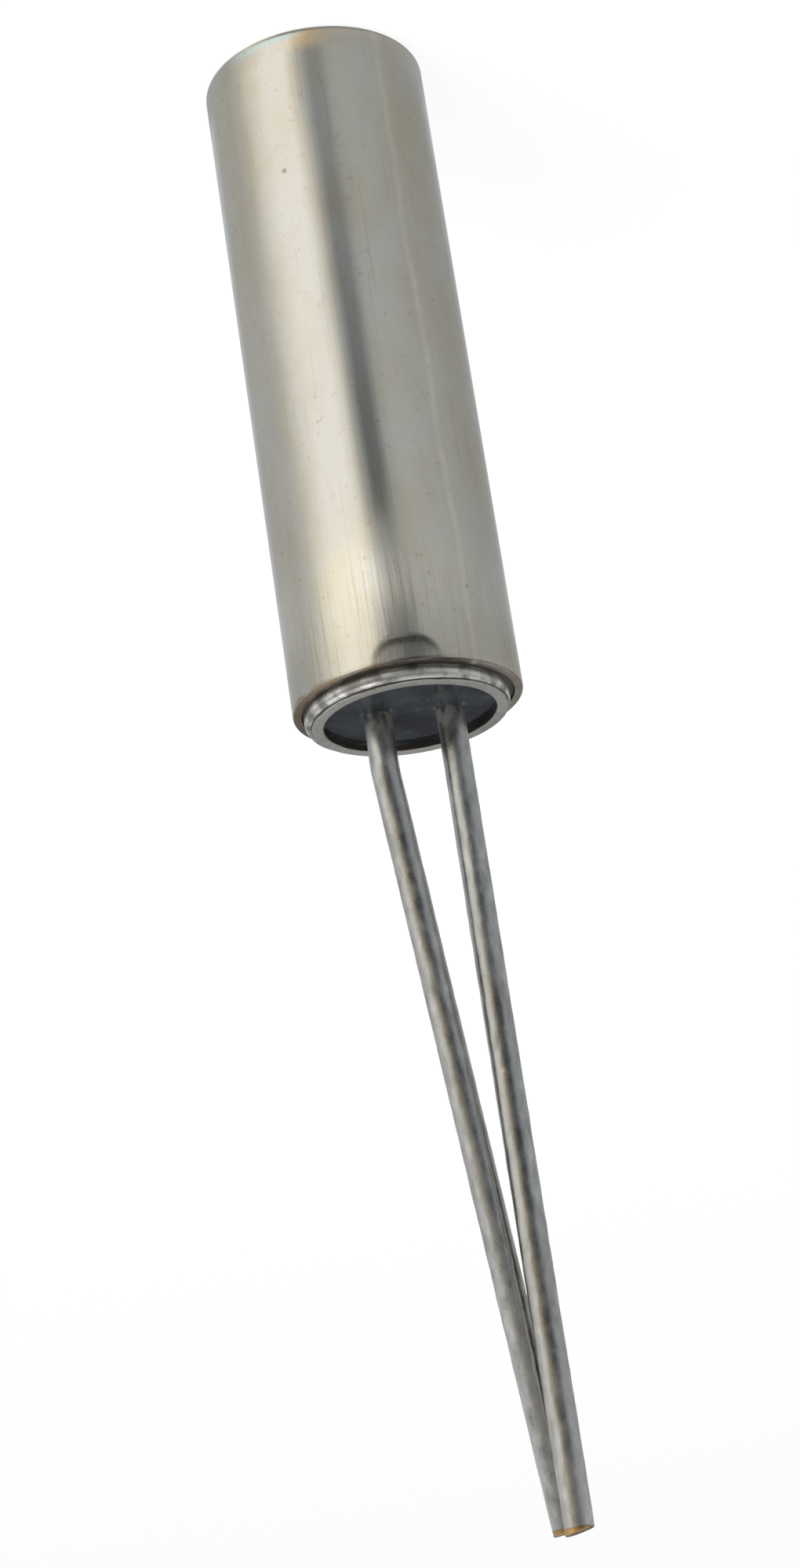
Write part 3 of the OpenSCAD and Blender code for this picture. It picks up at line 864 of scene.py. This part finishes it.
def addLamp(spec):
    data = bpy.data.lights.new(spec["name"], "AREA")
    data.size = lampSize * mm
    data.energy = spec["power"]
    lamp = bpy.data.objects.new(spec["name"], data)
    bpy.context.scene.collection.objects.link(lamp)
    lamp.location = Vector(spec["place"]) * mm
    lamp.rotation_mode = "QUATERNION"
    lamp.rotation_quaternion = (Vector(lampAim) - Vector(spec["place"])).to_track_quat("-Z", "Y")
    lamp.visible_glossy = False


for lampSpec in lampSpecs:
    addLamp(lampSpec)


# the sky that metal and glass see: dark low behind the camera, bright half-way up at +X, grey elsewhere

worldSpec = dict(strength=1.6, facing=sheetSpec["facing"], zenith="#A4A4A4", midFrom=(0.42, 0.56),
                 zenithFrom=(0.84, 0.94))
lowSky = [(-180, "#54565A"), (-105, "#86898C"), (-60, "#76797C"), (-30, "#2A2C2E"), (30, "#2A2C2E"),
          (60, "#76797C"), (105, "#86898C"), (180, "#54565A")]
midSky = [(-180, "#AEB0B2"), (-112, "#AEB0B2"), (-96, "#FFFFFF"), (-30, "#FFFFFF"), (-16, "#727578"),
          (70, "#727578"), (115, "#9A9C9E"), (180, "#AEB0B2")]


def setWorld(spec):
    world = bpy.data.worlds.new("studio")
    bpy.context.scene.world = world
    world.use_nodes = True
    tree = world.node_tree
    direction = addNode(tree, "TexCoord").outputs["Generated"]
    turned = addNode(tree, "Mapping", {"Vector": direction,
                     "Rotation": (0, 0, math.radians(spec["facing"]))})
    parts = addNode(tree, "SeparateXYZ", {"Vector": turned})
    bearing = addNode(tree, "Math", {0: parts.outputs["X"], 1: parts.outputs["Y"]}, operation="ARCTAN2")
    around = addNode(tree, "MapRange", {0: bearing, 1: -math.pi, 2: math.pi})
    low, mid = [addNode(tree, "ValToRGB", {"Fac": around},
                        stops=[((angle + 180) / 360, shade) for angle, shade in sky])
                for sky in (lowSky, midSky)]
    (midLow, midFull), (zenithLow, zenithFull) = spec["midFrom"], spec["zenithFrom"]
    rise = addNode(tree, "MapRange", {0: parts.outputs["Z"], 1: midLow, 2: midFull})
    colour = addNode(tree, "Mix", {0: rise, 6: low, 7: mid}, data_type="RGBA")
    high = addNode(tree, "MapRange", {0: parts.outputs["Z"], 1: zenithLow, 2: zenithFull})
    colour = addNode(tree, "Mix", {0: high, 6: colour, 7: linearColour(spec["zenith"])}, data_type="RGBA")
    background = tree.nodes["Background"]
    tree.links.new(colour.outputs[2], background.inputs["Color"])
    background.inputs["Strength"].default_value = spec["strength"]


setWorld(worldSpec)
print("floor, sheets and light set")
